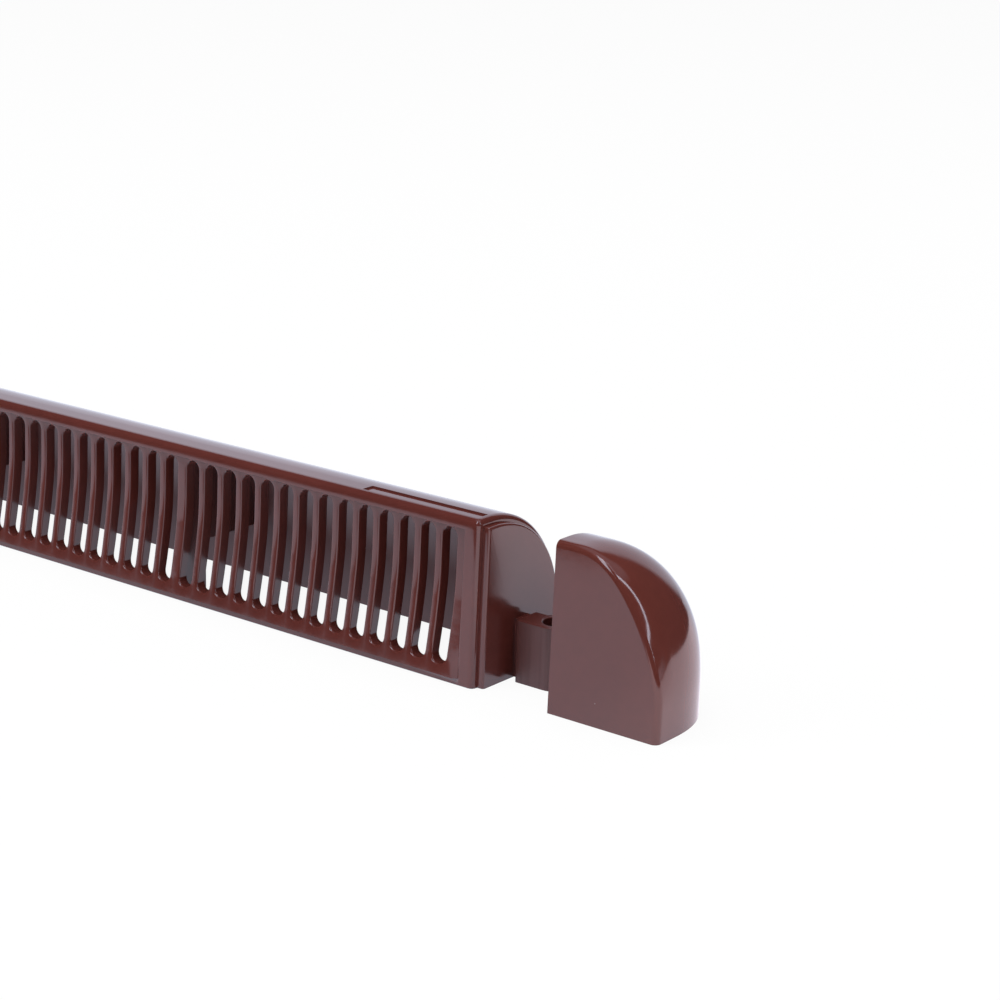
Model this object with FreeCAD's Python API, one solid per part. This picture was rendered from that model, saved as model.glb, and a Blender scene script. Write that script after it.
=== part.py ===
"""Slotted hood of a window trickle vent with its two push-on end caps.

Millimetres. X runs along the vent, -Y is the slotted face, +Y the rounded
side of the hood, and +Z points away from the window frame. The open back of
the hood lies in the plane Z = 0. The origin is the middle of that back.
"""

import FreeCAD, Part
import math
import os

# Outer section, the same for the hood and for both caps.
HOOD_HEIGHT = 25.2
HOOD_DEPTH = 19.7
HOOD_RADIUS = 15.8
FACE_LEAN = 0.85
FACE_FILLET = 1.0
END_ROUND = 0.8
HOOD_WALL = 1.4

# Slotted face: upright slots whose ribs stand back at the top and, below a
# knee, slope out until they stand a little proud of the face.
BAYS = 5
SLOTS_PER_BAY = 14
SLOT_WIDTH = 2.7
RIB_WIDTH = 1.3
BAY_RIB_WIDTH = 2.0
FIRST_RIB_WIDTH = 2.3
END_BORDER = 2.7
TOP_BORDER = 1.85
BOTTOM_BORDER = 1.05
UPPER_RECESS = 1.3
FOOT_PROUD = 0.5
KNEE_HEIGHT = 14.6
GRILLE_WALL = 1.85
SLOT_TOP_MARGIN = 0.65
SLOT_BOTTOM_MARGIN = 1.45
SLOT_CHORDS = 3

# Cross webs that stiffen the hood behind the wide ribs.
WEB_THICKNESS = 1.2
WEB_FOOT_DEPTH = 4.8
WEB_ARCH_HEIGHT = 8.6

# Bare shallow panel in the top face, near the right end.
PANEL_LENGTH = 21.8
PANEL_WIDTH = 2.3
PANEL_SINK = 0.25
PANEL_END_BORDER = 1.1
PANEL_FACE_BORDER = 1.95

# Spigot plate on each end of the hood, over which the cap slides.
CAP_WALL = 1.0
CAP_CLEARANCE = 0.1
SPIGOT_LENGTH = 1.1
END_PLATE = 1.6

# Screw lug that stands off each spigot plate on a narrow neck.
LUG_HEIGHT = 9.6
LUG_GROOVE = 1.4
LUG_WIDTH = 4.7
BOSS_RADIUS = 3.2
BOSS_REACH = 7.5
BOSS_SETBACK = 10.0
SCREW_HOLE = 4.2
NECK_WIDTH = 3.0
NECK_DROP = 0.6

# End caps, drawn off the hood by the gap that bares the lugs.
CAP_LENGTH = 18.6
CAP_GAP = 13.6
HOLLOW_CHORDS = 8
SNAP_RIB = 1.1
SNAP_BITE = 0.8
SNAP_HEIGHT = 8.4
SNAP_CLEARANCE = 0.15

OVERSHOOT = 1.0

SLOT_PITCH = SLOT_WIDTH + RIB_WIDTH
BAY_LENGTH = SLOTS_PER_BAY * SLOT_PITCH - RIB_WIDTH
BAY_STEP = BAY_LENGTH + BAY_RIB_WIDTH
SLOT_FIELD = BAYS * BAY_STEP - BAY_RIB_WIDTH
BODY_LENGTH = SLOT_FIELD + 2 * (FIRST_RIB_WIDTH + END_BORDER)
BODY_END = BODY_LENGTH / 2
FACE_Y = -HOOD_DEPTH / 2
BACK_Y = HOOD_DEPTH / 2
ARC_Y = BACK_Y - HOOD_RADIUS
ARC_Z = HOOD_HEIGHT - HOOD_RADIUS
RECESS_TOP = HOOD_HEIGHT - TOP_BORDER
SPIGOT_INSET = CAP_WALL + CAP_CLEARANCE
RIB_SLOPE = (UPPER_RECESS + FOOT_PROUD) / (KNEE_HEIGHT - BOTTOM_BORDER)
FLUSH_HEIGHT = BOTTOM_BORDER + FOOT_PROUD / RIB_SLOPE


def point(x, y, z):
    """A place in the vent's frame."""
    return FreeCAD.Vector(x, y, z)


def face_y(z):
    """The leaning slotted face: its Y at a height."""
    return FACE_Y + FACE_LEAN * z / HOOD_HEIGHT


def line(start, end):
    """A straight edge."""
    return Part.LineSegment(start, end).toShape()


def arc(start, middle, end):
    """A round edge through three places."""
    return Part.Arc(start, middle, end).toShape()


def chain(corners):
    """Straight edges from corner to corner, left open."""
    return [line(a, b) for a, b in zip(corners, corners[1:])]


def slab(edges, direction):
    """A flat outline pushed along a direction."""
    return Part.Face(Part.Wire(edges)).extrude(direction)


def round_corner(centre, radius, across, along, chords):
    """The quarter arc from the first direction to the second about a centre.

    With chords it is that many equal straight edges, which keep facets few.
    """
    steps = chords or 2
    turns = [math.pi / 2 * step / steps for step in range(steps + 1)]
    places = [
        centre + across * (radius * math.cos(turn)) + along * (radius * math.sin(turn))
        for turn in turns
    ]
    return chain(places) if chords else [arc(*places)]


def hood_outline(x, inset, bottom, chords=0):
    """The hood's section at X: leaning face, flat top, round shoulder, back.

    inset moves all of it inwards, apart from the bottom. The shoulder is an
    arc, or a number of chords.
    """
    top = HOOD_HEIGHT - inset
    radius = HOOD_RADIUS - inset
    face = [point(x, face_y(z) + inset, z) for z in (bottom, top)]
    shoulder = point(x, ARC_Y, ARC_Z)
    foot = point(x, ARC_Y + radius, bottom)
    edges = chain(face + [shoulder + point(0, 0, radius)])
    edges += round_corner(shoulder, radius, point(0, 0, 1), point(0, 1, 0), chords)
    edges += chain([shoulder + point(0, radius, 0), foot, face[0]])
    return edges


def grille_front(z):
    """The face of the ribs: set back at the top, sloping out below the knee."""
    rise = min(max(z, BOTTOM_BORDER), KNEE_HEIGHT) - BOTTOM_BORDER
    return face_y(z) - FOOT_PROUD + RIB_SLOPE * rise


def cavity_prism(start, end):
    """The hollow of the hood between two places along X, open at the back."""
    length = point(end - start, 0, 0)
    heights = (-OVERSHOOT, BOTTOM_BORDER, KNEE_HEIGHT, HOOD_HEIGHT)
    corners = [point(start, grille_front(z) + GRILLE_WALL, z) for z in heights]
    corners += [point(start, BACK_Y, z) for z in (HOOD_HEIGHT, -OVERSHOOT)]
    behind_grille = slab(chain(corners + corners[:1]), length)
    return slab(hood_outline(start, HOOD_WALL, -OVERSHOOT), length).common(behind_grille)


def bay_starts():
    """X of the first slot edge of each bay, from the left."""
    return [-SLOT_FIELD / 2 + bay * BAY_STEP for bay in range(BAYS)]


def hood_hollow():
    """One hollow a bay, joined below the webs by the arched opening."""
    inner_end = BODY_END - (END_PLATE - SPIGOT_LENGTH)
    web_middles = [x - BAY_RIB_WIDTH / 2 for x in bay_starts()[1:]]
    walls = [-inner_end - WEB_THICKNESS / 2] + web_middles + [inner_end + WEB_THICKNESS / 2]
    hollow = []
    for left, right in zip(walls, walls[1:]):
        hollow.append(cavity_prism(left + WEB_THICKNESS / 2, right - WEB_THICKNESS / 2))
    foot_end = grille_front(BOTTOM_BORDER) + GRILLE_WALL + WEB_FOOT_DEPTH
    arch_depth = BACK_Y - HOOD_WALL - foot_end
    corner = point(-inner_end, foot_end, -OVERSHOOT)
    arch = Part.makeBox(2 * inner_end, arch_depth, WEB_ARCH_HEIGHT + OVERSHOOT, corner)
    return hollow + [arch]


def grille_recess():
    """The long shallow recess in the slotted face, above where the ribs are flush."""
    heights = (FLUSH_HEIGHT, KNEE_HEIGHT, RECESS_TOP)
    half = BODY_END - END_BORDER
    corners = [point(-half, grille_front(z), z) for z in heights]
    corners += [point(-half, FACE_Y - OVERSHOOT, z) for z in (RECESS_TOP, FLUSH_HEIGHT)]
    return slab(chain(corners + corners[:1]), point(2 * half, 0, 0))


def proud_foot():
    """The foot of the ribs, from the bottom border up to where they are flush."""
    half = BODY_END - END_BORDER
    heights = (BOTTOM_BORDER, FLUSH_HEIGHT)
    corners = [point(-half, grille_front(z), z) for z in heights]
    corners += [point(-half, face_y(z) + FOOT_PROUD, z) for z in heights[::-1]]
    return slab(chain(corners + corners[:1]), point(2 * half, 0, 0))


def slot_cutter(x):
    """One upright slot with half-round ends, its left edge at X.

    There are many slots, so each quarter of an end is a few chords.
    """
    radius = SLOT_WIDTH / 2
    start = FACE_Y - OVERSHOOT
    reach = grille_front(KNEE_HEIGHT) + GRILLE_WALL + OVERSHOOT - start
    low = point(x + radius, start, BOTTOM_BORDER + SLOT_BOTTOM_MARGIN + radius)
    high = point(x + radius, start, RECESS_TOP - SLOT_TOP_MARGIN - radius)
    side = point(1, 0, 0)
    crown = point(0, 0, 1)
    edges = [line(low - side * radius, high - side * radius)]
    edges += round_corner(high, radius, -side, crown, SLOT_CHORDS)
    edges += round_corner(high, radius, crown, side, SLOT_CHORDS)
    edges += [line(high + side * radius, low + side * radius)]
    edges += round_corner(low, radius, side, -crown, SLOT_CHORDS)
    edges += round_corner(low, radius, -crown, -side, SLOT_CHORDS)
    return slab(edges, point(0, reach, 0))


def all_slots():
    """Every slot, in bays that the wide ribs part."""
    return [
        slot_cutter(start + number * SLOT_PITCH)
        for start in bay_starts()
        for number in range(SLOTS_PER_BAY)
    ]


def top_panel():
    """The bare shallow panel sunk in the top face."""
    corner = point(
        BODY_END - PANEL_END_BORDER - PANEL_LENGTH,
        FACE_Y + PANEL_FACE_BORDER,
        HOOD_HEIGHT - PANEL_SINK,
    )
    return Part.makeBox(PANEL_LENGTH, PANEL_WIDTH, PANEL_SINK + OVERSHOOT, corner)


def spigot():
    """The plate that closes the right end and enters the cap."""
    start = BODY_END - END_PLATE + SPIGOT_LENGTH
    edges = hood_outline(start, SPIGOT_INSET, 0)
    return slab(edges, point(END_PLATE, 0, 0))


def screw_lug():
    """Boss with its tongue, and the neck that ties them to the right spigot."""
    plate = BODY_END + SPIGOT_LENGTH
    tongue_start = plate + LUG_GROOVE
    boss_x = BODY_END + BOSS_REACH
    boss_y = FACE_Y + BOSS_SETBACK
    near = boss_y - BOSS_RADIUS
    tongue = Part.makeBox(
        boss_x - tongue_start, LUG_WIDTH, LUG_HEIGHT, point(tongue_start, near, 0)
    )
    boss = Part.makeCylinder(BOSS_RADIUS, LUG_HEIGHT, point(boss_x, boss_y, 0))
    neck = Part.makeBox(
        LUG_GROOVE + SPIGOT_LENGTH / 2,
        NECK_WIDTH,
        LUG_HEIGHT - NECK_DROP,
        point(plate - SPIGOT_LENGTH / 2, near + LUG_WIDTH - NECK_WIDTH, 0),
    )
    hole = Part.makeCylinder(
        SCREW_HOLE / 2, LUG_HEIGHT + 2 * OVERSHOOT, point(boss_x, boss_y, -OVERSHOOT)
    )
    return tongue.fuse([boss, neck]).cut(hole)


def mirrored(shape):
    """The same shape at the other end of the vent."""
    return shape.mirror(point(0, 0, 0), point(1, 0, 0))


def top_face_edges(shape):
    """Edges of the slotted face at its top, where it turns onto the hood."""
    chosen = []
    for edge in shape.Edges:
        box = edge.BoundBox
        at_top = box.ZMin > HOOD_HEIGHT - FACE_FILLET
        near = abs(box.YMax - face_y(HOOD_HEIGHT)) < FACE_FILLET / 2
        if at_top and near and box.XLength > BODY_LENGTH / 2:
            chosen.append(edge)
    return chosen


def end_outline_edges(shape):
    """Edges round the hood's two ends, apart from those in the open back."""
    chosen = []
    for edge in shape.Edges:
        box = edge.BoundBox
        at_end = box.XLength < OVERSHOOT / 10 and abs(box.XMin) > BODY_LENGTH / 2 - OVERSHOOT / 10
        if at_end and box.ZMax > OVERSHOOT / 10:
            chosen.append(edge)
    return chosen


def vent_body():
    """The hood: one moulding with grille, webs, spigots and screw lugs."""
    outline = hood_outline(-BODY_END, 0, 0)
    hood = slab(outline, point(BODY_LENGTH, 0, 0))
    hood = hood.makeFillet(FACE_FILLET, top_face_edges(hood))
    hood = hood.makeFillet(END_ROUND, end_outline_edges(hood))
    hood = hood.cut(hood_hollow())
    ends = [spigot(), screw_lug()]
    ends += [mirrored(shape) for shape in ends]
    hood = hood.fuse(ends + [proud_foot()])
    return hood.cut([grille_recess(), top_panel()] + all_slots()).removeSplitter()


def cap_dome(inset, bottom, chords):
    """The cap's outer form, or with insets its hollow, from the rim outwards.

    The hood's section runs on, then turns a quarter round an upright axis,
    and the same quarter profile runs forward to the slotted face.
    """
    radius = HOOD_RADIUS - inset
    rim = BODY_END + CAP_GAP
    pivot = rim + CAP_LENGTH - HOOD_RADIUS
    run_on = slab(hood_outline(rim, inset, bottom, chords), point(pivot - rim, 0, 0))
    shoulder = point(pivot, ARC_Y, ARC_Z)
    profile = [line(point(pivot, ARC_Y, bottom), point(pivot + radius, ARC_Y, bottom))]
    profile += [line(point(pivot + radius, ARC_Y, bottom), shoulder + point(radius, 0, 0))]
    profile += round_corner(shoulder, radius, point(1, 0, 0), point(0, 0, 1), chords)
    profile += [line(shoulder + point(0, 0, radius), point(pivot, ARC_Y, bottom))]
    quarter = Part.Face(Part.Wire(profile))
    turned = quarter.revolve(shoulder, point(0, 0, 1), 90)
    forward = quarter.extrude(point(0, face_y(bottom) - OVERSHOOT - ARC_Y, 0))
    behind_face = (
        point(rim, face_y(bottom) + inset, bottom),
        point(rim, face_y(HOOD_HEIGHT) + inset, HOOD_HEIGHT),
        point(rim, ARC_Y, HOOD_HEIGHT),
        point(rim, ARC_Y, bottom),
    )
    keep = slab(chain(behind_face + behind_face[:1]), point(CAP_LENGTH, 0, 0))
    return run_on.fuse([turned, forward.common(keep)]).removeSplitter()


def face_outline_edges(shape):
    """Edges where the cap's slotted-side face turns onto its top and end."""
    rim = BODY_END + CAP_GAP
    chosen = []
    for edge in shape.Edges:
        middle = edge.valueAt((edge.FirstParameter + edge.LastParameter) / 2)
        on_face = abs(middle.y - face_y(middle.z)) < FACE_FILLET / 10
        inside = middle.x > rim + FACE_FILLET / 10 and middle.z > FACE_FILLET / 10
        if on_face and inside:
            chosen.append(edge)
    return chosen


def snap_rib():
    """The rib inside the cap that clicks into the groove before the lug."""
    start = BODY_END + CAP_GAP + SPIGOT_LENGTH + SNAP_CLEARANCE
    near_wall = face_y(0) + CAP_WALL / 2
    bite = FACE_Y + BOSS_SETBACK - BOSS_RADIUS + SNAP_BITE
    return Part.makeBox(SNAP_RIB, bite - near_wall, SNAP_HEIGHT, point(start, near_wall, 0))


def end_cap():
    """The right-hand cap: a thin dome, open to the hood and at the back."""
    outer = cap_dome(0, 0, 0)
    outer = outer.makeFillet(FACE_FILLET, face_outline_edges(outer))
    hollow = cap_dome(CAP_WALL, -OVERSHOOT, HOLLOW_CHORDS)
    return outer.cut(hollow).fuse(snap_rib()).removeSplitter()


def main():
    """Write one file for each piece."""
    cap = end_cap()
    pieces = {
        "vent_body": vent_body(),
        "end_cap_right": cap,
        "end_cap_left": mirrored(cap),
    }
    os.makedirs("parts", exist_ok=True)
    for name, shape in pieces.items():
        box = shape.BoundBox
        sizes = f"{box.XLength:.2f} x {box.YLength:.2f} x {box.ZLength:.2f}"
        print(name, "solids", len(shape.Solids), "valid", shape.isValid(), sizes)
        shape.exportStep(f"parts/{name}.step")


main()
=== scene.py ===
import math

import bmesh
import bpy
import numpy as np
from mathutils import Matrix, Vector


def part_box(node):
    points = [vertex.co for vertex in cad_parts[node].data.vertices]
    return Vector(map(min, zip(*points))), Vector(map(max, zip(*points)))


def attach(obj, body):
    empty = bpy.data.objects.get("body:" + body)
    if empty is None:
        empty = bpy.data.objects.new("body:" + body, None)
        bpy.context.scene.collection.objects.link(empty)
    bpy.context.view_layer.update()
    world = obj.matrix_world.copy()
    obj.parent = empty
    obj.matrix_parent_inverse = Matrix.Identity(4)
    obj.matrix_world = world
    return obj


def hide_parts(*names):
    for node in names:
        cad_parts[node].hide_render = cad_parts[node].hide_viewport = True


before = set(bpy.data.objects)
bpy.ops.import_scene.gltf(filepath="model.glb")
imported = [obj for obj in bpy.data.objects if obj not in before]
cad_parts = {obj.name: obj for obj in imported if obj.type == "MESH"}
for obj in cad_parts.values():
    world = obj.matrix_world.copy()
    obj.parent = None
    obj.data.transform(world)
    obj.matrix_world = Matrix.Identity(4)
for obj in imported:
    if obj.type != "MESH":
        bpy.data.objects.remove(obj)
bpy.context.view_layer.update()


# Hood shell
# The long cover over the air slot in a window head: brown ABS, injection moulded in one
# piece with its grille, webs, end plates and screw lugs. Its front leans back a little,
# its shoulder is a quarter circle, and its back is open to the window frame.
MM = 0.001
body_low, body_high = (np.array(corner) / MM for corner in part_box("vent_body"))
hood_height = body_high[2]
back_y = body_high[1]
lug_reach = 10.7
hood_end = body_high[0] - lug_reach
shoulder_radius = 15.8
shoulder_y = back_y - shoulder_radius
shoulder_z = hood_height - shoulder_radius
face_lean = 0.85
lean_angle = math.atan(face_lean / hood_height)
face_fillet = 1.0
least_fillet = 0.3
foot_round = 0.2
hood_wall = 1.4
end_edge_round = 0.8

window_half = hood_end - 2.7
window_low = 1.05
window_high = hood_height - 1.85
window_lip = 0.25
foot_proud = 0.5
front_y = body_low[1] + foot_proud - face_lean * window_low / hood_height

upper_recess = 1.3
knee_height = 14.6
knee_round = 2.4
rib_bow = 0.06
upper_wall = 1.95
lower_wall = 1.75

spigot_inset = 1.1
spigot_length = 1.1
spigot_round = 0.4
cavity_end = hood_end - 0.5

panel_start = hood_end - 22.9
panel_end = hood_end - 1.1
panel_near = front_y + 1.95
panel_far = panel_near + 2.3
panel_sink = 0.25
panel_draft = 0.1
top_zone = spigot_inset + 1


def face_at(z):
    """The leaning front: its Y grows in proportion to the height."""
    return front_y + face_lean * z / hood_height


def rib_sink(z):
    """Depth of the rib fronts: from the proud foot a slightly bowed slope, steepest at
    the foot, climbs to the knee, and a parabola over twice the knee round joins it to
    the level above."""
    length = knee_height - window_low
    rise = (upper_recess + foot_proud) / length

    def slope_depth(height):
        return (rise + rib_bow) * height - rib_bow * height**2 / length - foot_proud

    last = length - knee_round
    last_rise = rise + rib_bow - 2 * rib_bow * last / length
    below_top = np.clip(knee_height + knee_round - z, 0, 2 * knee_round)
    bend = slope_depth(last) + last_rise * (knee_round - below_top**2 / (4 * knee_round))
    return np.where(z < knee_height - knee_round, slope_depth(z - window_low), bend)


def grille_wall(z):
    """Thickness of the ribs: it grows with their depth."""
    share = np.maximum(rib_sink(z), 0) / upper_recess
    return lower_wall + (upper_wall - lower_wall) * share


knee_rows = np.linspace(knee_height - knee_round, knee_height + knee_round, 7)


def hood_section(inset):
    """Outer outline for each inset, from the foot of the face over the top to the foot
    of the back: two foot rounds, two straight lines, a fillet, a flat and a quarter
    circle, all moved inwards by the inset. Rows run round, columns along the hood."""
    inset = np.asarray(inset, float)[None, :]
    turn = np.linspace(0, np.pi / 2, 4)[:, None]
    fillet = np.maximum(face_fillet - inset, least_fillet)
    top = hood_height - inset
    radius = shoulder_radius - inset
    fillet_z = top - fillet
    fillet_y = face_at(fillet_z) + inset + fillet / math.cos(lean_angle)

    foot = (
        face_at(foot_round) + inset + foot_round * (1 - np.sin(turn)),
        foot_round * (1 - np.cos(turn)) + 0 * inset,
    )
    heights = np.concatenate([[window_low], knee_rows, [window_high + window_lip]])
    rows = heights[:, None] * fillet_z / (hood_height - face_fillet)
    face = (face_at(rows) + inset, rows)
    angle = np.linspace(np.pi - lean_angle, np.pi / 2, 8)[:, None]
    corner = (fillet_y + fillet * np.cos(angle), fillet_z + fillet * np.sin(angle))
    flat_start = face_at(hood_height - face_fillet) + face_fillet
    flat_places = np.array([panel_near, panel_near + panel_draft])
    share = ((flat_places - flat_start) / (shoulder_y - flat_start))[:, None]
    flat = (fillet_y + (shoulder_y - fillet_y) * share, top + 0 * share)
    panel_edges = np.array([panel_far - panel_draft, panel_far]) - shoulder_y
    lead = np.arcsin(panel_edges / shoulder_radius)
    around = np.concatenate([[0], lead, np.linspace(0, np.pi / 2, 30)[1:]])[:, None]
    shoulder = (shoulder_y + radius * np.sin(around), shoulder_z + radius * np.cos(around))
    back_row = np.array([[shoulder_z / 2]])
    back = (shoulder_y + radius + 0 * back_row, back_row + 0 * inset)
    back_foot = (
        shoulder_y + radius - foot_round * (1 - np.cos(turn)),
        foot_round * (1 - np.sin(turn)) + 0 * inset,
    )
    parts = (foot, face, corner, flat, shoulder, back, back_foot)
    return tuple(np.concatenate([part[axis] for part in parts]) for axis in (0, 1))


def grid_faces(rows, columns):
    """Quads between neighbouring points of a grid that is numbered row by row."""
    number = np.arange(rows * columns).reshape(rows, columns)
    corners = (number[:-1, :-1], number[:-1, 1:], number[1:, 1:], number[1:, :-1])
    return np.stack(corners, axis=-1)


def patch(points, hole=None):
    """A grid of points with its quads, less those in the hole's rows and columns."""
    rows, columns = points.shape[:2]
    faces = grid_faces(rows, columns)
    keep = np.ones((rows - 1, columns - 1), bool)
    if hole:
        keep[hole] = False
    return points.reshape(-1, 3), faces[keep]


def border(points, rows, columns):
    """The points round a block of a grid, from its first corner and back to it."""
    low, high = rows
    left, right = columns
    sides = (
        points[low, left:right],
        points[low:high, right],
        points[high, right:left:-1],
        points[high:low:-1, left],
        points[low, left:left + 1],
    )
    return np.concatenate(sides)


# Places along the right half with their insets: the hood's length, its rounded end, the
# step that the cap covers, the rounded spigot plate.
turn = np.linspace(0, np.pi / 2, 5)
along = np.concatenate([
    [panel_start, panel_start + panel_draft, window_half + window_lip],
    [panel_end - panel_draft, panel_end],
    hood_end - end_edge_round * (1 - np.sin(turn)),
    [hood_end, hood_end + spigot_length - spigot_round],
    hood_end + spigot_length - spigot_round * (1 - np.sin(turn[1:])),
])
inset = np.concatenate([
    np.zeros(5),
    end_edge_round * (1 - np.cos(turn)),
    [spigot_inset, spigot_inset],
    spigot_inset + spigot_round * (1 - np.cos(turn[1:])),
])
outer_x = np.concatenate([-along[::-1], along])
outer_y, outer_z = hood_section(np.concatenate([inset[::-1], inset]))
outer = np.stack(np.broadcast_arrays(outer_x[None, :], outer_y, outer_z), axis=-1)

# The bare shallow panel in the top, near the right end: its rows and columns go down.
panel_rows = (outer[:, 0, 2] > hood_height - top_zone) & (
    outer_y[:, outer.shape[1] // 2] > panel_near + panel_draft / 2
) & (outer_y[:, outer.shape[1] // 2] < panel_far - panel_draft / 2)
panel_columns = (outer_x > panel_start + panel_draft / 2) & (
    outer_x < panel_end - panel_draft / 2
)
outer[..., 2] -= panel_sink * np.outer(panel_rows, panel_columns)

# The end plates close in a fan about the middle of the open back.
plate_left = np.broadcast_to([-hood_end - spigot_length, 0, 0], outer[:, :1].shape)
plate_right = np.broadcast_to([hood_end + spigot_length, 0, 0], outer[:, :1].shape)
outer = np.concatenate([plate_left, outer, plate_right], axis=1)


def cavity_section():
    """Inner outline, one wall inside the hood: a straight run up the backs of the ribs, a
    small quarter round, a quarter circle and a straight run down the far wall."""
    heights = np.concatenate([[0, window_low], knee_rows, [window_high]])
    ribs = (face_at(heights) + rib_sink(heights) + grille_wall(heights), heights)
    corner_round = 0.3
    corner_z = hood_height - hood_wall - corner_round
    corner_y = ribs[0][-1] + corner_round
    angle = np.linspace(np.pi, np.pi / 2, 4)
    corner = (corner_y + corner_round * np.cos(angle), corner_z + corner_round * np.sin(angle))
    radius = shoulder_radius - hood_wall
    start = math.asin((corner_y - shoulder_y) / radius)
    around = np.linspace(start, np.pi / 2, 26)[1:]
    shoulder = (shoulder_y + radius * np.sin(around), shoulder_z + radius * np.cos(around))
    back = (np.full(2, shoulder_y + radius), np.array([shoulder_z / 2, 0]))
    parts = (ribs, corner, shoulder, back)
    return tuple(np.concatenate([part[axis] for part in parts]) for axis in (0, 1))


cavity_y, cavity_z = cavity_section()
after_window = len(along) - 3
inner_along = np.concatenate([
    [panel_start, panel_start + panel_draft, window_half],
    np.linspace(window_half, cavity_end, after_window + 1)[1:],
])
inner_x = np.concatenate([-inner_along[::-1], inner_along])
inner = np.stack(
    np.broadcast_arrays(inner_x[None, :], cavity_y[:, None], cavity_z[:, None]), axis=-1
)
wall_left = np.broadcast_to([-cavity_end, 0, 0], inner[:, :1].shape)
wall_right = np.broadcast_to([cavity_end, 0, 0], inner[:, :1].shape)
inner = np.concatenate([wall_left, inner, wall_right], axis=1)

# The window for the grille: the same block of rows and columns is left out of the
# outside and the inside, and a rounded lip and a wall join the two borders.
first_column = 1 + len(along) - 3
last_column = len(along) + 3
columns = (first_column, last_column)
outer_rows = (4, 4 + len(knee_rows) + 1)
inner_rows = (1, 1 + len(knee_rows) + 1)
outer_border = border(outer, outer_rows, columns)
inner_border = border(inner, inner_rows, columns)


def window_ring(angle):
    """The window's edge after part of the lip's quarter turn: out of the window by
    1 - sin and inwards by 1 - cos. The lip is no larger than the ribs are deep, so it
    runs out at the foot."""
    x = np.clip(outer_border[:, 0], -window_half, window_half)
    z = np.clip(outer_border[:, 2], window_low, window_high)
    lip = np.clip(rib_sink(z), 0, window_lip)
    out = lip * (1 - np.sin(angle))
    x = x + out * np.sign(outer_border[:, 0]) * (np.abs(outer_border[:, 0]) > window_half)
    z = z + out * (outer_border[:, 2] > window_high)
    y = face_at(z) + lip * (1 - np.cos(angle))
    return np.stack([x, y, z], axis=-1)


window_rings = [outer_border] + [window_ring(angle) for angle in turn[1:]] + [inner_border]
body_patches = [
    patch(outer, (slice(*outer_rows), slice(*columns))),
    patch(inner, (slice(*inner_rows), slice(*columns))),
    patch(np.stack(window_rings)),
    patch(np.stack([outer[0], inner[0]])),
    patch(np.stack([outer[-1], inner[-1]])),
]


# Grille
# The slotted plate in the hood's window, moulded with the hood: five bays of fourteen
# upright slots with half-round ends. The ribs stand back at the top, bend at the knee and
# slope out until their foot stands proud, and the mould leaves each slot a rounded rim.
bays = 5
slots_per_bay = 14
slot_width = 2.7
slot_pitch = 4.0
bay_rib = 2.0
slot_rim = 0.34
foot_margin = 1.45
top_margin = 0.65
slot_low = window_low + foot_margin
slot_high = window_high - top_margin
plate_seat = 0.03
face_seat = 0.02
side_draft = 0.8
bay_step = slots_per_bay * slot_pitch - slot_pitch + slot_width + bay_rib
field = bays * bay_step - bay_rib
slot_lefts = (
    -field / 2
    + bay_step * np.arange(bays)[:, None]
    + slot_pitch * np.arange(slots_per_bay)[None, :]
).ravel()
slot_middles = slot_lefts + slot_width / 2
halfway = (slot_middles[:-1] + slot_middles[1:]) / 2
cell_lefts = np.concatenate([[-window_half - plate_seat], halfway])
cell_rights = np.concatenate([halfway, [window_half + plate_seat]])


def slot_walk():
    """Once round a slot: the unit outward direction, the height of the round end or
    side that it belongs to, and the share of the way to the cell's border across and
    up that the border's matching point has."""
    radius = slot_width / 2
    low = slot_low + radius
    high = slot_high - radius
    side = np.concatenate([np.linspace(low, knee_rows[0], 5)[:-1], knee_rows,
                           np.linspace(knee_rows[-1], high, 3)[1:]])
    bend = np.linspace(0, np.pi, 13)[1:-1]
    across = np.clip(2 - bend / (np.pi / 4), -1, 1)
    up = np.clip(np.minimum(bend, np.pi - bend) / (np.pi / 4), 0, 1)
    ones = np.ones(len(side))
    level = np.concatenate([side, high + 0 * bend, side[::-1], low + 0 * bend, side[:1]])
    out_x = np.concatenate([ones, np.cos(bend), -ones, -np.cos(bend), ones[:1]])
    out_z = np.concatenate([0 * ones, np.sin(bend), 0 * ones, -np.sin(bend), [0]])
    share_x = np.concatenate([ones, across, -ones, -across, ones[:1]])
    share_z = np.concatenate([0 * ones, up, 0 * ones, -up, [0]])
    return level, out_x, out_z, share_x, share_z


level, out_x, out_z, share_x, share_z = slot_walk()


def cell_ring(away, depth, bottom, draft=0):
    """One ring of every cell. away is the distance outside the slot, or None for the
    cell's border, drawn in by the draft at the plate's two ends; depth is behind the rib
    fronts, as a length or as the whole wall. At its two ends the plate meets the hood's
    face, so the proud foot runs out there."""
    middle = slot_middles[:, None]
    if away is None:
        lefts = np.maximum(cell_lefts, draft - window_half) if draft else cell_lefts
        rights = np.minimum(cell_rights, window_half - draft) if draft else cell_rights
        right = (rights[:, None] - middle) * np.maximum(share_x, 0)
        left = (middle - lefts[:, None]) * np.minimum(share_x, 0)
        x = middle + right + left
        top = window_high + plate_seat - level
        low = level - bottom
        z = level + np.maximum(share_z, 0) * top + np.minimum(share_z, 0) * low
    else:
        x = middle + (slot_width / 2 + away) * out_x
        z = level + (slot_width / 2 + away) * out_z
    z = np.broadcast_to(z, x.shape)
    at_ends = np.abs(x) > window_half
    sink = np.where(at_ends, np.maximum(rib_sink(z), face_seat), rib_sink(z))
    y = face_at(z) + sink + (grille_wall(z) - face_seat if depth is None else depth)
    return np.stack([x, y, z], axis=-1)


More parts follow.
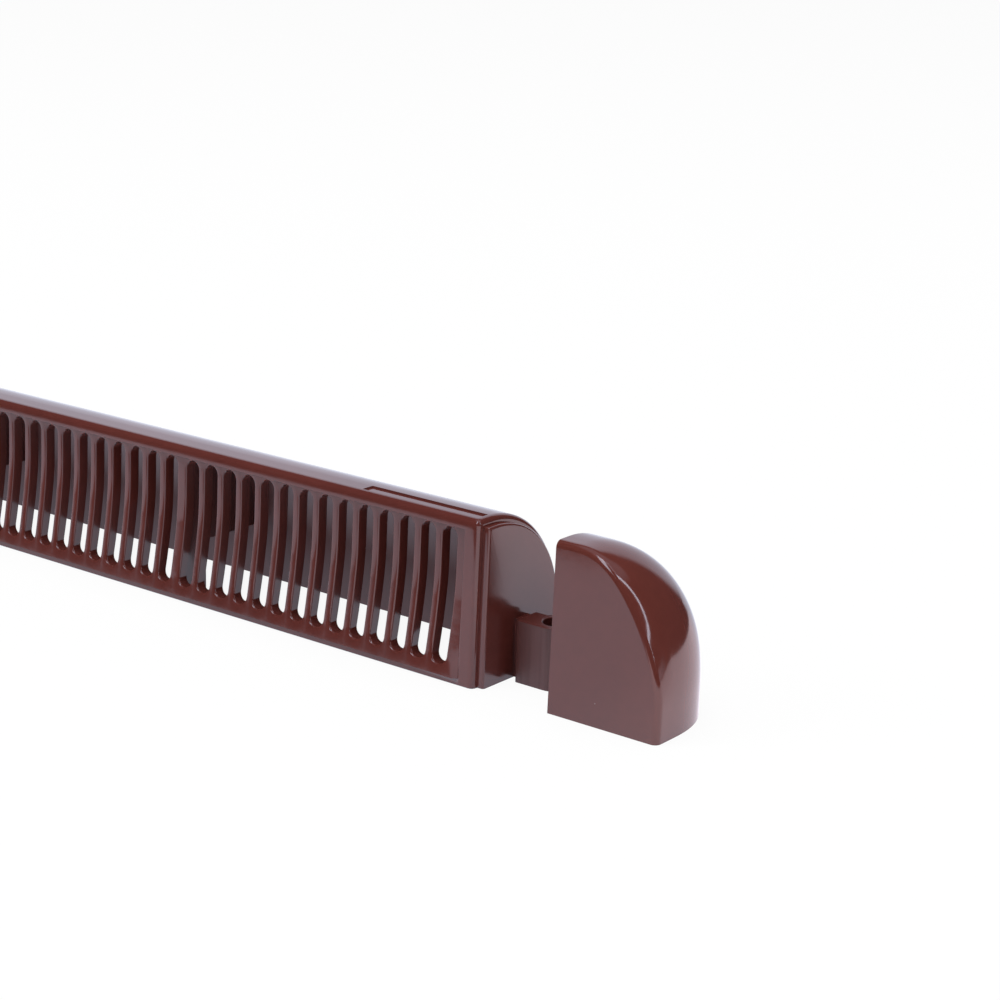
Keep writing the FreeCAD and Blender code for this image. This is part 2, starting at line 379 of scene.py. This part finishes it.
rim_turn = np.linspace(0, np.pi / 2, 5)
rings = [cell_ring(None, 0, window_low), cell_ring(None, 0, window_low, side_draft)]
rings += [
    cell_ring(slot_rim * (1 - np.sin(angle)), slot_rim * (1 - np.cos(angle)), window_low)
    for angle in rim_turn
]
rings += [cell_ring(0, None, window_low), cell_ring(None, None, window_low - plate_seat)]
cells = np.stack(rings, axis=1)
body_patches += [patch(cell) for cell in cells]

# The plate's own edge, from the front border to the back border of the outer cells.
segments = len(level) - 1
on_border = 0.999
edge_top = (share_z[:-1] > on_border) & (share_z[1:] > on_border)
edge_bottom = (share_z[:-1] < -on_border) & (share_z[1:] < -on_border)
edge_left = (share_x[:-1] < -on_border) & (share_x[1:] < -on_border)
edge_right = (share_x[:-1] > on_border) & (share_x[1:] > on_border)
for number, cell in enumerate(cells):
    on_edge = edge_top | edge_bottom
    if number == 0:
        on_edge = on_edge | edge_left
    if number == len(cells) - 1:
        on_edge = on_edge | edge_right
    strip = grid_faces(2, segments + 1)[0][on_edge]
    body_patches.append((cell[[0, -1]].reshape(-1, 3), strip))


# Cross webs
# Thin walls behind the wide ribs that stiffen the hood, part of the same moulding. Each
# stands on a foot behind the grille and leaves an arch open at the back.
web_thickness = 1.2
web_foot = 4.8
web_arch = 8.6
web_seat = 0.4


def pushed(outline, direction):
    """A flat outline pushed along a direction: its side quads and two flat ends."""
    count = len(outline)
    points = np.concatenate([outline, outline + np.asarray(direction, float)])
    start = np.arange(count)
    following = np.roll(start, -1)
    sides = np.stack([start, following, following + count, start + count], axis=-1)
    ends = [list(range(count)), list(range(2 * count - 1, count - 1, -1))]
    return points, sides.tolist() + ends


def web_outline(x):
    """The web's section: up the backs of the ribs, round under the hood, down to the
    arch, and along the arch to the foot."""
    rise = np.concatenate([[0, window_low], knee_rows, [window_high]])
    front = face_at(rise) + rib_sink(rise) + grille_wall(rise) - web_seat
    radius = shoulder_radius - hood_wall + web_seat
    around = np.linspace(0, np.pi / 2, 16)
    foot_y = face_at(window_low) + grille_wall(window_low) + web_foot
    y = np.concatenate([
        front, shoulder_y + radius * np.sin(around), [shoulder_y + radius, foot_y, foot_y]
    ])
    z = np.concatenate([rise, shoulder_z + radius * np.cos(around), [web_arch, web_arch, 0]])
    return np.stack([np.full(len(y), x), y, z], axis=-1)


bay_edges = slot_lefts.reshape(bays, slots_per_bay)[1:, 0] - bay_rib / 2
for middle in bay_edges:
    outline = web_outline(middle - web_thickness / 2)
    body_patches.append(pushed(outline, (web_thickness, 0, 0)))


# Screw lugs
# The ears that the hood is screwed down by, one at each end, under the caps: a round
# boss with a clearance hole, and a tongue that a narrow neck ties to the end plate. The
# groove in front of the neck takes the cap's snap rib.
lug_height = 9.6
boss_radius = 3.2
boss_reach = 7.5
boss_setback = 10.0
boss_x = hood_end + boss_reach
boss_y = front_y + boss_setback
screw_hole = 2.1
groove_width = 1.4
tongue_start = hood_end + spigot_length + groove_width
tongue_width = 4.7
tongue_round = 0.3
tongue_near = boss_y - boss_radius
lug_edge = 0.22
neck_width = 3.0
neck_drop = 0.6


def lug_plan(inset):
    """Plan of the lug, moved inwards: the near side, three quarters of the boss, the
    far side of the tongue and its rounded end."""
    radius = boss_radius - inset
    far = tongue_near + tongue_width - inset
    corner = max(tongue_round - inset, 0.05)
    near = tongue_near + inset
    end = tongue_start + inset
    meets = math.pi - math.asin((far - boss_y) / radius)
    around = np.linspace(-np.pi / 2, meets, 34)
    quarter = np.linspace(0, np.pi / 2, 4)
    runs = (
        (boss_x + radius * np.cos(around), boss_y + radius * np.sin(around)),
        (end + corner - corner * np.sin(quarter), far - corner + corner * np.cos(quarter)),
        (end + corner - corner * np.cos(quarter), near + corner - corner * np.sin(quarter)),
        (np.linspace(end + corner, boss_x, 6)[1:], np.full(5, near)),
    )
    return np.concatenate([np.stack(run, axis=-1) for run in runs])


def lug_ring(plan, z):
    """A plan outline at one height."""
    return np.concatenate([plan, np.full((len(plan), 1), z)], axis=1)


def hole_plan(radius):
    """The hole's circle: its points are shared out evenly along the outer plan."""
    ray = lug_plan(0) - (boss_x, boss_y)
    angle = np.unwrap(np.arctan2(ray[:, 1], ray[:, 0]))
    even = angle[0] + (angle[-1] - angle[0]) * np.linspace(0, 1, len(angle))
    return np.stack([boss_x + radius * np.cos(even), boss_y + radius * np.sin(even)], axis=-1)


edge_turn = np.linspace(0, np.pi / 2, 4)
lug_rings = [lug_ring(hole_plan(screw_hole), 0), lug_ring(lug_plan(0), 0)]
lug_rings += [
    lug_ring(lug_plan(lug_edge * (1 - np.cos(angle))),
             lug_height - lug_edge * (1 - np.sin(angle)))
    for angle in edge_turn
]
lug_rings += [
    lug_ring(hole_plan(screw_hole + lug_edge * (1 - np.sin(angle))),
             lug_height - lug_edge * (1 - np.cos(angle)))
    for angle in edge_turn
]
lug_rings += [lug_rings[0]]
lug = patch(np.stack(lug_rings))
neck_near = tongue_near + tongue_width - neck_width
neck_base = np.array([
    [hood_end + spigot_length / 2, neck_near, 0],
    [tongue_start + lug_edge, neck_near, 0],
    [tongue_start + lug_edge, neck_near + neck_width, 0],
    [hood_end + spigot_length / 2, neck_near + neck_width, 0],
])
neck = pushed(neck_base, (0, 0, lug_height - neck_drop))


def mirrored(part):
    """The same points at the other end of the vent."""
    points, faces = part
    return points * (-1, 1, 1), faces


body_patches += [lug, neck, mirrored(lug), mirrored(neck)]


weld_distance = 2e-6
sliver = 1e-7
sharp_degrees = 32


def make_piece(name, parts):
    """One mesh from grids and pushed outlines given in millimetres. Edges that meet are
    welded, slivers go, faces turn outwards, and only real corners stay sharp."""
    counts = np.cumsum([0] + [len(points) for points, faces in parts])
    points = np.concatenate([points for points, faces in parts]) * MM
    faces = [
        [int(number) + int(first) for number in face]
        for first, (_, part_faces) in zip(counts, parts)
        for face in part_faces
    ]
    mesh = bpy.data.meshes.new(name)
    mesh.from_pydata(points.tolist(), [], faces)
    surface = bmesh.new()
    surface.from_mesh(mesh)
    bmesh.ops.remove_doubles(surface, verts=surface.verts, dist=weld_distance)
    bmesh.ops.dissolve_degenerate(surface, edges=surface.edges, dist=sliver)
    unused = [corner for corner in surface.verts if not corner.link_faces]
    bmesh.ops.delete(surface, geom=unused, context="VERTS")
    bmesh.ops.recalc_face_normals(surface, faces=surface.faces)
    surface.to_mesh(mesh)
    surface.free()
    mesh.shade_smooth()
    mesh.set_sharp_from_angle(angle=math.radians(sharp_degrees))
    piece = bpy.data.objects.new(name, mesh)
    bpy.context.scene.collection.objects.link(piece)
    even = piece.modifiers.new("even_shading", "WEIGHTED_NORMAL")
    even.keep_sharp = True
    return piece


class Shade:
    """A socket of a material's nodes that can be used in a sum."""

    def __init__(self, tree, socket=None):
        self.tree = tree
        self.socket = socket

    def node(self, kind, settings=None, inputs=None, output=0):
        """A new node: settings first, then the values or links of its sockets."""
        made = self.tree.nodes.new(kind)
        for name, value in (settings or {}).items():
            if name == "stops":
                ramp = made.color_ramp
                while len(ramp.elements) < len(value):
                    ramp.elements.new(1)
                for element, (place, colour) in zip(ramp.elements, value):
                    element.position = place
                    element.color = (*colour, 1)
            else:
                setattr(made, name, value)
        for name, value in (inputs or {}).items():
            if isinstance(value, Shade):
                self.tree.links.new(value.socket, made.inputs[name])
            else:
                made.inputs[name].default_value = value
        return Shade(self.tree, made.outputs[output] if made.outputs else None)

    def sum(self, operation, first, second):
        """A Math node on two values."""
        return self.node("ShaderNodeMath", {"operation": operation}, {0: first, 1: second})

    def __add__(self, other):
        return self.sum("ADD", self, other)

    __radd__ = __add__

    def __sub__(self, other):
        return self.sum("SUBTRACT", self, other)

    def __rsub__(self, other):
        return self.sum("SUBTRACT", other, self)

    def __mul__(self, other):
        return self.sum("MULTIPLY", self, other)

    __rmul__ = __mul__

    def __gt__(self, other):
        return self.sum("GREATER_THAN", self, other)

    def __lt__(self, other):
        return self.sum("LESS_THAN", self, other)


def colour_mix(share, first, second):
    """Two colours mixed by a share."""
    return share.node(
        "ShaderNodeMix",
        {"data_type": "RGBA"},
        {0: share, 6: first, 7: second},
        output=2,
    )


inside_from_y = -7.5
inside_full_y = -5.0
plate_from = hood_end + 0.7
plate_full = hood_end + 0.95
plate_to = hood_end + spigot_length + 0.3
lug_from = hood_end + spigot_length + 1.2
lug_to = hood_end + 11
drag_top = 9.4
dust_colour = (0.42, 0.38, 0.36, 1)


def moulded_plastic(name, colour, seed):
    """Glossy brown ABS: slow colour drift from the melt, a faint orange-peel skin,
    handling smears in the gloss, hair scratches and a few specks of dust. The inside of
    the hood and the end plates are satin. The lugs are satin too, with painted shade that
    darkens them where the cap and the hood shadow them, deeper along the upright drag
    marks from the mould on their sides."""
    material = bpy.data.materials.new(name)
    material.use_nodes = True
    tree = material.node_tree
    tree.nodes.clear()
    start = Shade(tree)
    place = start.node("ShaderNodeTexCoord", output=3)

    def noise(scale, detail, shift, stretch=(1, 1, 1)):
        moved = start.node(
            "ShaderNodeMapping",
            inputs={"Vector": place, "Location": (shift, seed, shift), "Scale": stretch},
        )
        return start.node(
            "ShaderNodeTexNoise",
            inputs={"Vector": moved, "Scale": scale, "Detail": detail, "Roughness": 0.55},
        )

    def band(value, low, high):
        return start.node(
            "ShaderNodeMapRange",
            {"interpolation_type": "SMOOTHSTEP"},
            {"Value": value, "From Min": low, "From Max": high},
        )

    axes = start.node("ShaderNodeSeparateXYZ", inputs={"Vector": place}).socket.node.outputs
    across, away, up = (Shade(tree, axis) for axis in axes)
    outwards = start.sum("ABSOLUTE", across, 0)
    corner_way = start.node("ShaderNodeCombineXYZ", inputs={
        "Y": start.sum("MAXIMUM", away - shoulder_y * MM, 0),
        "Z": start.sum("MAXIMUM", up - shoulder_z * MM, 0)})
    from_corner = start.node(
        "ShaderNodeVectorMath", {"operation": "LENGTH"}, {0: corner_way}, output=1)
    inside = (from_corner < (shoulder_radius - hood_wall / 2) * MM)
    inside = inside * band(away, inside_from_y * MM, inside_full_y * MM)
    inside = inside * (outwards < (cavity_end + 0.2) * MM)
    plate = band(outwards, plate_from * MM, plate_full * MM) * (outwards < plate_to * MM)
    lug = (outwards > lug_from * MM) * (outwards < lug_to * MM)
    drag = band(noise(1500, 2, 3.3, (1, 1, 0.03)), 0.35, 0.75) * (up < drag_top * MM)

    drift = band(noise(34, 2, 0.3), 0.35, 0.7)
    mottle = band(noise(420, 3, 1.7), 0.3, 0.75)
    darker, lighter, shade_and_drag_tone = (
        tuple(share * channel for channel in colour) + (1,) for share in (0.9, 1.1, 0.5)
    )
    tone = colour_mix(0.7 * drift + 0.3 * mottle, darker, lighter)
    # Painted shade: the lugs, which the cap and the hood shadow, are mixed towards half their
    # colour, and further along the drag marks from the mould.
    tone = colour_mix(lug * (0.45 + 0.25 * drag), tone, shade_and_drag_tone)

    specks = start.node(
        "ShaderNodeTexVoronoi",
        {"feature": "F1"},
        {"Vector": place, "Scale": 260, "Randomness": 1},
    )
    chance = start.node("ShaderNodeTexWhiteNoise", {"noise_dimensions": "3D"}, {
        "Vector": Shade(tree, specks.socket.node.outputs["Position"])})
    dust = (specks < 0.025) * (chance > 0.93)
    skin = colour_mix(0.35 * dust, tone, dust_colour)

    smear = band(noise(55, 3, 4.1, (1, 1.8, 1)), 0.4, 0.75)
    along_hair = band(noise(900, 1, 2.2, (0.05, 1.2, 1.2)), 0.70, 0.78)
    across_hair = band(noise(700, 1, 7.9, (1.3, 0.9, 0.06)), 0.72, 0.8)
    hair = start.sum("MAXIMUM", along_hair, across_hair)
    roughness = 0.08 + 0.05 * smear + 0.07 * hair + 0.3 * dust
    roughness = roughness + 0.3 * inside + 0.1 * plate + lug * (0.28 + 0.12 * drag)

    peel = noise(760, 2, 5.5)
    height = 0.5 * peel - 0.16 * hair + 0.5 * dust
    bump = start.node(
        "ShaderNodeBump",
        inputs={"Strength": 0.05, "Distance": 0.0002, "Height": height},
    )
    skin_shader = start.node(
        "ShaderNodeBsdfPrincipled",
        inputs={"Base Color": skin, "Roughness": roughness, "IOR": 1.6, "Normal": bump},
    )
    start.node("ShaderNodeOutputMaterial", inputs={"Surface": skin_shader})
    return material


vent_plastic = moulded_plastic("gloss_brown_vent", (0.11, 0.026, 0.021), 2.0)
vent_moulding = make_piece("vent_moulding", body_patches)
vent_moulding.data.materials.append(vent_plastic)
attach(vent_moulding, "root")
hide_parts("vent_body")


# End caps
# Thin domes of the same brown ABS that push over the end plates and hide the screws,
# drawn off here by the gap that bares the lugs. The hood's section runs on, turns a full
# rounded corner and runs forward to the front, where a fillet meets it.
cap_low, cap_high = (np.array(corner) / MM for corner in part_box("end_cap_right"))
cap_rim = cap_low[0]
cap_end = cap_high[0]
cap_wall = 1.0
cap_fillet = 1.0
inner_fillet = 0.35
nose_length = 15.2
nose_rise = 20.4
nose_fullness = 2.4
nose_draw = 1.4


def cap_skin(inset, fillet):
    """One skin of the cap as a grid. Rows climb the wall, follow the nose's quarter
    ellipse and close the flat top. Columns run from the rim along the back, round a
    superellipse to the end, forward with a slight draw, over the fillet, and across
    the face to its lower corner at the rim."""
    climb = np.linspace(0, np.pi / 2, 32)
    closing = np.linspace(0, 1, 6)[1:]
    still = np.zeros(3)
    z = hood_height - nose_rise + (nose_rise - inset) * np.sin(climb)
    z = np.concatenate([[0, foot_round, z[0] / 2], z, 0 * closing + hood_height - inset])
    lift = np.concatenate([still, climb, 0 * closing + np.pi / 2])
    shrink = np.concatenate([still, 0 * climb, closing])
    reach = (nose_length - inset) * np.cos(lift)
    radius = shoulder_radius - inset
    depth = np.sqrt(np.maximum(radius**2 - np.maximum(z - shoulder_z, 0) ** 2, 0))
    draw = nose_draw * np.sin(2 * lift) ** 2
    normal_x = np.cos(lift) / (nose_length - inset)
    normal_z = np.sin(lift) / (nose_rise - inset)
    size = np.hypot(normal_x, normal_z)

    pivot_x = cap_end - nose_length - shrink * (cap_end - nose_length - cap_rim)
    face = face_at(z) + inset
    pivot_y = shoulder_y - 0.9 * shrink * (shoulder_y - face - fillet)
    start = np.arctan(2 * draw / (pivot_y - face - fillet / 2))
    rows = (z, reach, depth, draw, normal_x / size, normal_z / size, pivot_x, face)
    z, reach, depth, draw, normal_x, normal_z, pivot_x, face = (row[:, None] for row in rows)
    pivot_y, start = pivot_y[:, None], start[:, None]

    run = np.linspace(0, 1, 3)[None, :-1]
    run_on = (cap_rim + (pivot_x - cap_rim) * run, pivot_y + depth + 0 * run, z + 0 * run)
    swing = np.linspace(0, np.pi / 2, 30)[None, :]
    power = 2 / nose_fullness
    corner = (
        pivot_x + reach * np.sin(swing) ** power,
        pivot_y + depth * np.cos(swing) ** power,
        z + 0 * swing,
    )
    ahead = np.linspace(0, 1, 6)[None, 1:-1]
    meets = face + fillet * (1 - np.sin(start))
    forward = (
        pivot_x + reach - draw * ahead**2,
        pivot_y + (meets - pivot_y) * ahead,
        z + 0 * ahead,
    )
    bend = start + (np.pi / 2 - start) * np.linspace(0, 1, 8)[None, :]
    drawn = fillet * (np.cos(start) - np.cos(bend))
    rounded_x = np.maximum(pivot_x + reach - draw - normal_x * drawn, cap_rim)
    rounded_z = z - normal_z * drawn
    rounded = (
        rounded_x,
        face_at(rounded_z) + inset + fillet * (1 - np.sin(bend)),
        rounded_z,
    )
    inwards = np.array([[0.25, 0.6, 1.0]])
    last_x = rounded_x[:, -1:]
    last_z = rounded_z[:, -1:]
    flat_x = last_x + (cap_rim - last_x) * inwards
    flat_z = last_z * (1 - inwards)
    flat = (flat_x, face_at(flat_z) + inset, flat_z)
    sweeps = (run_on, corner, forward, rounded, flat)
    columns = [np.concatenate([sweep[axis] for sweep in sweeps], axis=1) for axis in range(3)]
    return np.stack(columns, axis=-1)


outer_skin = cap_skin(0, cap_fillet)
inner_skin = cap_skin(cap_wall, inner_fillet)
cap_parts = [
    patch(outer_skin),
    patch(inner_skin),
    patch(np.stack([outer_skin[0], inner_skin[0]])),
    patch(np.stack([outer_skin[-1], inner_skin[-1]])),
    patch(np.stack([outer_skin[:, 0], inner_skin[:, 0]])),
]

# The rib inside the cap that snaps into the groove in front of the lug's neck.
snap_rib = 1.1
snap_play = 0.15
snap_height = 8.4
snap_lift = 0.1
snap_bite = 0.8
snap_start = cap_rim + spigot_length + snap_play
snap_root = front_y + cap_wall / 2
snap_tip = tongue_near + snap_bite
snap_base = np.array([
    [snap_start, snap_root, snap_lift],
    [snap_start + snap_rib, snap_root, snap_lift],
    [snap_start + snap_rib, snap_tip, snap_lift],
    [snap_start, snap_tip, snap_lift],
])
cap_parts.append(pushed(snap_base, (0, 0, snap_height - snap_lift)))

cap_plastic = moulded_plastic("gloss_brown_cap", (0.112, 0.0265, 0.0205), 6.0)
for side, parts in (("right", cap_parts), ("left", [mirrored(part) for part in cap_parts])):
    cap = make_piece("cap_" + side, parts)
    cap.data.materials.append(cap_plastic)
    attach(cap, "root")
    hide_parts("end_cap_" + side)


# Floor
# A plain white sheet. The camera sees white paper with a faint shadow of the vent. The
# gloss sees where the paper is lit: to a little in front of the hood, and, warmer and
# brighter, beside the right cap.
lit_from_y = -0.08
lit_fade = 0.015
beside_from_x = 0.15
beside_to_x = 0.8
beside_to_y = 0.2
beside_fade = 0.04
cool_white = (0.84, 0.9, 1.06, 1)
warm_white = (1.0, 0.88, 0.97, 1)
own_share = 0.93
unlit = 0.04
lit_behind = 1.12
lit_beside = 1.6


def floor_paper():
    """White paper that is nearly all its own white, with some of the lamps' light."""
    material = bpy.data.materials.new("white_paper")
    material.use_nodes = True
    tree = material.node_tree
    tree.nodes.clear()
    start = Shade(tree)
    place = start.node("ShaderNodeTexCoord", output=3)
    axes = start.node("ShaderNodeSeparateXYZ", inputs={"Vector": place}).socket.node.outputs
    across, away = Shade(tree, axes[0]), Shade(tree, axes[1])

    def edge(value, dark, bright):
        return start.node("ShaderNodeMapRange", {"interpolation_type": "SMOOTHSTEP"}, {
            "Value": value, "From Min": dark, "From Max": bright})

    aside = edge(across, beside_from_x, beside_from_x + beside_fade)
    beside = aside * edge(away, beside_to_y + beside_fade, beside_to_y)
    beside = beside * edge(across, beside_to_x + beside_fade, beside_to_x)
    behind = (1 - aside) * edge(away, lit_from_y - lit_fade, lit_from_y)
    rays = start.node("ShaderNodeLightPath").socket.node.outputs
    seen = Shade(tree, rays["Is Camera Ray"])
    mirrored = Shade(tree, rays["Is Glossy Ray"])
    white = colour_mix(mirrored * beside, cool_white, warm_white)
    white = colour_mix(mirrored, (1, 1, 1, 1), white)
    lit = start.node("ShaderNodeBsdfDiffuse", inputs={"Color": (0.9, 0.9, 0.91, 1)})
    own = start.node("ShaderNodeEmission", inputs={
        "Color": white,
        "Strength": seen + (unlit + lit_behind * behind + lit_beside * beside) * mirrored,
    })
    paper = start.node("ShaderNodeMixShader", inputs={
        0: own_share * seen + mirrored, 1: lit, 2: own})
    start.node("ShaderNodeOutputMaterial", inputs={"Surface": paper})
    return material


floor_half = 3.0
floor_mesh = bpy.data.meshes.new("floor")
floor_mesh.from_pydata(
    [(-floor_half, -floor_half, 0), (floor_half, -floor_half, 0),
     (floor_half, floor_half, 0), (-floor_half, floor_half, 0)],
    [], [(0, 1, 2, 3)],
)
floor = bpy.data.objects.new("floor", floor_mesh)
bpy.context.scene.collection.objects.link(floor)
floor_mesh.materials.append(floor_paper())


# Light
# Three soft lamps and an even surround give the plain level. The gloss sees the studio:
# a white screen behind on the left, a dimmer ceiling, a glow low behind on the right, a
# tall strip lamp on the right, a wider one in front, and darkness elsewhere.
def soft_lamp(name, place, size, power, target=(0.1, 0, 0.01)):
    """A square lamp turned towards the vent."""
    light = bpy.data.lights.new(name, "AREA")
    light.size = size
    light.energy = power
    lamp = bpy.data.objects.new(name, light)
    lamp.location = place
    away = np.array(place) - np.array(target)
    yaw = math.atan2(away[1], away[0]) + math.pi / 2
    tilt = math.acos(away[2] / np.linalg.norm(away))
    lamp.rotation_euler = (tilt, 0, yaw)
    lamp.visible_glossy = False
    bpy.context.scene.collection.objects.link(lamp)
    return lamp


soft_lamp("overhead_lamp", (0.1, -0.1, 1.1), 1.0, 9.0)
soft_lamp("left_lamp", (-0.7, -0.9, 0.8), 0.7, 5.0)
soft_lamp("right_lamp", (1.2, 0.1, 0.15), 0.6, 2.4)

world = bpy.data.worlds.new("surround")
bpy.context.scene.world = world
world.use_nodes = True
world.node_tree.nodes.clear()
start = Shade(world.node_tree)
heading = start.node("ShaderNodeTexCoord", output=0)


def studio_light(azimuth, elevation, full, none):
    """A round patch of light in one direction: full within the first angle from its
    middle and gone at the second. Azimuth 0 is straight in front, 90 on the right."""
    turn, lift = math.radians(azimuth), math.radians(elevation)
    middle = (math.sin(turn) * math.cos(lift), -math.cos(turn) * math.cos(lift), math.sin(lift))
    near = start.node(
        "ShaderNodeVectorMath", {"operation": "DOT_PRODUCT"}, {0: heading, 1: middle}, output=1)
    return start.node("ShaderNodeMapRange", {"interpolation_type": "SMOOTHSTEP"}, {
        "Value": near,
        "From Min": math.cos(math.radians(none)),
        "From Max": math.cos(math.radians(full)),
    })


def strip_lamp(azimuth, half_width, low, high):
    """An upright strip of light: near the upright plane through its azimuth with soft
    sides, on its own side, and between two elevations."""
    turn = math.radians(azimuth)
    aside = start.node("ShaderNodeVectorMath", {"operation": "DOT_PRODUCT"}, {
        0: heading, 1: (math.cos(turn), math.sin(turn), 0)}, output=1)
    ahead = start.node("ShaderNodeVectorMath", {"operation": "DOT_PRODUCT"}, {
        0: heading, 1: (math.sin(turn), -math.cos(turn), 0)}, output=1)
    height = Shade(start.tree, start.node(
        "ShaderNodeSeparateXYZ", inputs={"Vector": heading}).socket.node.outputs[2])
    limit = math.sin(math.radians(half_width))
    inside = start.node("ShaderNodeMapRange", {"interpolation_type": "SMOOTHSTEP"}, {
        "Value": start.sum("ABSOLUTE", aside, 0),
        "From Min": 1.5 * limit,
        "From Max": 0.6 * limit,
    })
    low, high = (math.sin(math.radians(elevation)) for elevation in (low, high))
    return inside * (ahead > 0) * (height > low) * (height < high)


screen = start.sum("MAXIMUM", studio_light(-160, 17, 19, 27), studio_light(-130, 17, 22, 27))
low_glow = start.sum("MAXIMUM", studio_light(118, -7, 8, 11), studio_light(112, -3, 7, 11))
ceiling = studio_light(0, 90, 30, 37)
side_strip = strip_lamp(84, 2.0, 14, 80)
front_strip = strip_lamp(0, 6.0, 30, 72)
studio = unlit + 1.0 * screen + 0.9 * low_glow + 0.5 * ceiling
studio = studio + 7.0 * side_strip + 6.0 * front_strip
surround_level = 0.45
rays = start.node("ShaderNodeLightPath").socket.node.outputs
mirrored = Shade(start.tree, rays["Is Glossy Ray"])
seen = start.sum("MAXIMUM", Shade(start.tree, rays["Is Camera Ray"]),
                 Shade(start.tree, rays["Is Transmission Ray"]))
surround = start.node("ShaderNodeBackground", inputs={
    "Color": colour_mix(mirrored, (1, 1, 1, 1), cool_white),
    "Strength": seen + studio * mirrored
    + surround_level * (1 - start.sum("MAXIMUM", seen, mirrored)),
})
start.node("ShaderNodeOutputWorld", inputs={"Surface": surround})


# Camera
# It stands in front of the vent and past its right end, 38 degrees round from straight
# on, and looks down by 16 degrees along the hood with a medium long lens.
azimuth = math.radians(37.725)
elevation = math.radians(16.166)
roll = math.radians(1.528)
target = np.array([139.4, 3.83, 24.3]) * MM
distance = 347.25 * MM
ahead = np.array([
    -math.sin(azimuth) * math.cos(elevation),
    math.cos(azimuth) * math.cos(elevation),
    -math.sin(elevation),
])
level_right = np.array([math.cos(azimuth), math.sin(azimuth), 0])
level_up = np.cross(level_right, ahead)
right = level_right * math.cos(roll) + level_up * math.sin(roll)
up = level_up * math.cos(roll) - level_right * math.sin(roll)
lens = bpy.data.cameras.new("camera")
lens.sensor_width = 36
lens.lens = 85.1
lens.clip_start = 0.01
lens.clip_end = 20
camera = bpy.data.objects.new("camera", lens)
bpy.context.scene.collection.objects.link(camera)
turned = np.eye(4)
turned[:3, 0] = right
turned[:3, 1] = up
turned[:3, 2] = -ahead
turned[:3, 3] = target - ahead * distance
camera.matrix_world = Matrix(turned.tolist())
bpy.context.scene.camera = camera
bpy.context.scene.view_settings.view_transform = "Standard"
